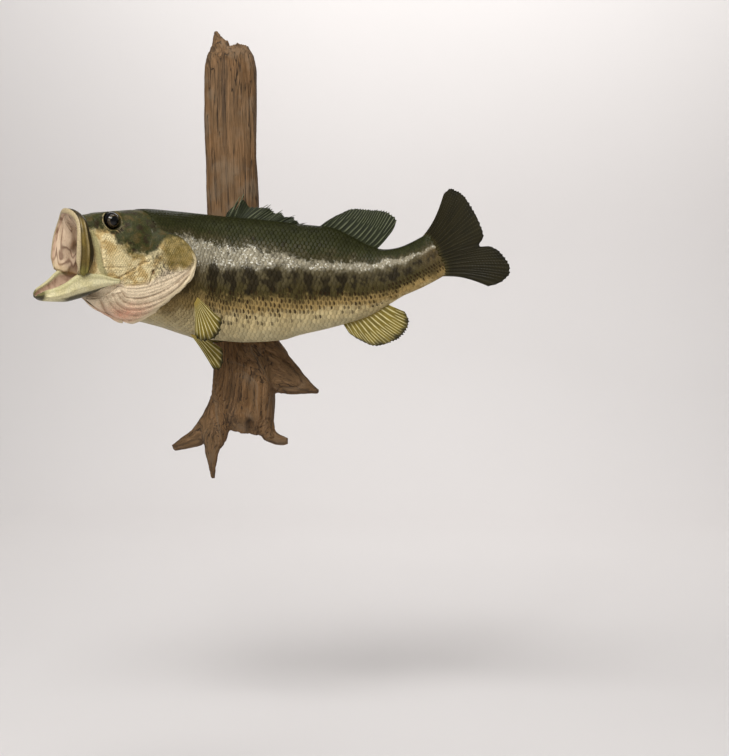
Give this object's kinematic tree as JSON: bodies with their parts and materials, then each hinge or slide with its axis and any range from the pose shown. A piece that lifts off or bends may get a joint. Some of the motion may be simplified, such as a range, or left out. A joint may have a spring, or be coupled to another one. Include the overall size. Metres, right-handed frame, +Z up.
{
  "type": "mounted largemouth bass",
  "caption": "Life-size wall-mounted largemouth bass, body curved with mouth open and fins spread, on an upright piece of weathered driftwood with a flat back.",
  "frame": {"origin": "on the flat back of the driftwood, in the plane of the wall, level with the middle of the fish", "axes": "+X from the head towards the tail, +Y into the wall, +Z up; the fish is on the -Y side"},
  "size_m": [0.5703, 0.2271, 0.5951],
  "materials": {
    "skin": "varnished scaly skin, dark green back to cream belly",
    "jaw": "varnished skin over bone, olive to cream",
    "gill": "varnished thin skin, cream with a pink lower edge",
    "mouth": "satin painted lining, dusty tan",
    "eye": "gloss taxidermy glass, dark brown with a pale ring",
    "dark_fin": "varnished fin skin over rays, dark green",
    "pale_fin": "varnished fin skin over rays, yellow olive with dark edge",
    "wood": "bare weathered driftwood"
  },
  "bodies": {
    "root": {"head": "skin", "upper_jaw": "jaw", "lower_jaw": "jaw", "throat": "gill", "tongue": "mouth", "gill_cover_left": "gill", "gill_cover_right": "gill", "eye_left": "eye", "eye_right": "eye", "trunk_front": "skin", "trunk_rear": "skin", "tail_stalk": "skin", "fin_dorsal_spiny": "dark_fin", "fin_dorsal_soft": "dark_fin", "fin_tail": "dark_fin", "fin_anal": "pale_fin", "fin_pectoral_left": "pale_fin", "fin_pectoral_right": "pale_fin", "fin_pelvic_left": "pale_fin", "fin_pelvic_right": "pale_fin", "driftwood": "wood"}
  },
  "joints": []
}
